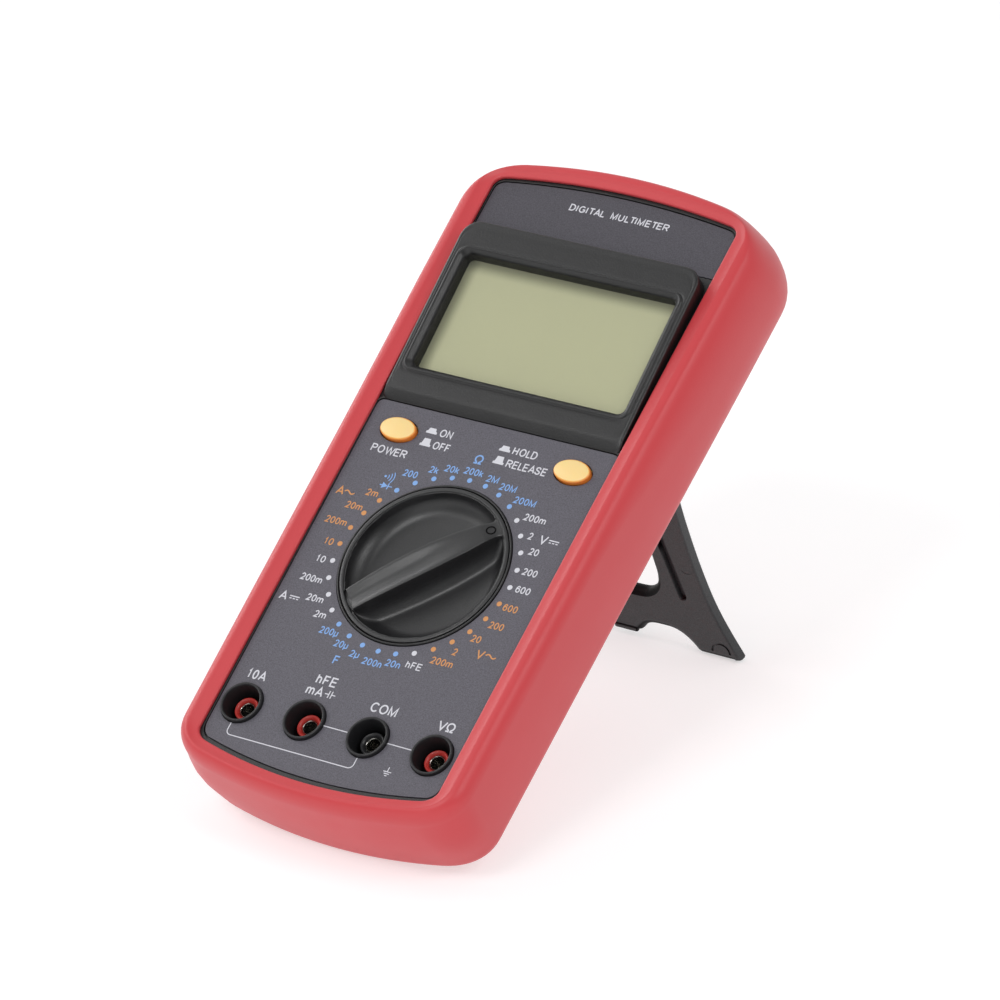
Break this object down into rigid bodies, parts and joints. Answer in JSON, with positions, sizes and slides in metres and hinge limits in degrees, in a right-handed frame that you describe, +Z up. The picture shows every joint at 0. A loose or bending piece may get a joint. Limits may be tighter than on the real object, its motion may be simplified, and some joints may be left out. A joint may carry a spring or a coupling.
{
  "type": "digital multimeter",
  "caption": "Handheld digital multimeter in a rubber holster, leaning on its open tilt stand, with a rotary selector, push buttons, display and input jacks.",
  "frame": {"origin": "on the floor under the middle of the meter's bounding box, as it stands on its open stand", "axes": "+Z up, +X to the right of a person facing the display, -Y towards that person; the face slopes back at 34 degrees to the floor"},
  "size_m": [0.0894, 0.1686, 0.1247],
  "materials": {
    "holster_rubber": "satin red elastomer",
    "cover_plastic": "fine textured black moulding",
    "face_label": "satin grey film",
    "clear_window": "clear",
    "display_glass": "reflective display",
    "white_plastic": "moulded",
    "elastomer": "conductive strip",
    "circuit_board": "solder mask",
    "black_plastic": "moulded",
    "blue_plastic": "moulded",
    "steel": "plated",
    "fuse_glass": "glass tube with end caps",
    "copper_wire": "bare resistance wire",
    "button_plastic": "satin amber",
    "knob_plastic": "satin black",
    "battery_case": "printed steel sleeve",
    "red_insulation": "moulded",
    "black_insulation": "moulded",
    "brass": "plated",
    "stand_plastic": "satin black"
  },
  "bodies": {
    "meter_body": {"holster": "holster_rubber", "front_cover": "cover_plastic", "rear_cover": "cover_plastic", "battery_door": "cover_plastic", "upper_label": "face_label", "lower_label": "face_label", "lcd_window": "clear_window", "lcd_glass": "display_glass", "lcd_frame": "white_plastic", "zebra_strip_lower": "elastomer", "zebra_strip_upper": "elastomer", "main_pcb": "circuit_board", "processor_chip": "black_plastic", "calibration_trimmer": "blue_plastic", "filter_capacitor_1": "blue_plastic", "filter_capacitor_2": "blue_plastic", "quartz_crystal": "steel", "fuse_10a": "fuse_glass", "fuse_ma": "fuse_glass", "shunt_10a": "copper_wire", "power_switch": "black_plastic", "hold_switch": "black_plastic", "battery_9v": "battery_case", "battery_snap": "black_plastic", "battery_wire_red": "red_insulation", "battery_wire_black": "black_insulation", "shield_plate": "steel", "shield_spring": "steel", "buzzer_disc": "brass", "stand_pin": "steel", "door_screw": "steel", "pcb_screw_1": "steel", "pcb_screw_2": "steel", "pcb_screw_3": "steel", "case_screw_1": "steel", "fuse_clip_1": "brass", "case_screw_2": "steel", "fuse_clip_2": "brass", "case_screw_3": "steel", "fuse_clip_3": "brass", "case_screw_4": "steel", "fuse_clip_4": "brass", "input_socket_10a": "brass", "socket_insulator_10a": "red_insulation", "input_socket_ma": "brass", "socket_insulator_ma": "red_insulation", "input_socket_com": "brass", "socket_insulator_com": "black_insulation", "input_socket_volt": "brass", "socket_insulator_volt": "red_insulation"},
    "selector": {"rotary_knob": "knob_plastic", "rotor_carrier": "white_plastic", "contact_wiper_1": "brass", "contact_wiper_2": "brass", "contact_wiper_3": "brass", "detent_spring_1": "steel", "detent_spring_2": "steel"},
    "power_key": {"power_button": "button_plastic"},
    "hold_key": {"hold_button": "button_plastic"},
    "tilt_stand": {"stand": "stand_plastic"}
  },
  "joints": [
    {"name": "selector_turn", "type": "hinge", "parent": "meter_body", "child": "selector", "pos_m": [0, -0.02717, 0.05846], "axis": [0, -0.5592, 0.829], "continuous": true},
    {"name": "power_press", "type": "slide", "parent": "meter_body", "child": "power_key", "axis": [0, 0.5592, -0.829], "range_m": [0, 0.0015], "stiffness_N_per_m": 300},
    {"name": "hold_press", "type": "slide", "parent": "meter_body", "child": "hold_key", "axis": [0, 0.5592, -0.829], "range_m": [0, 0.0015], "stiffness_N_per_m": 300},
    {"name": "stand_fold", "type": "hinge", "parent": "meter_body", "child": "tilt_stand", "pos_m": [0, 0.05247, 0.08347], "axis": [-1, 0, 0], "range_deg": [0, 62.7]}
  ]
}
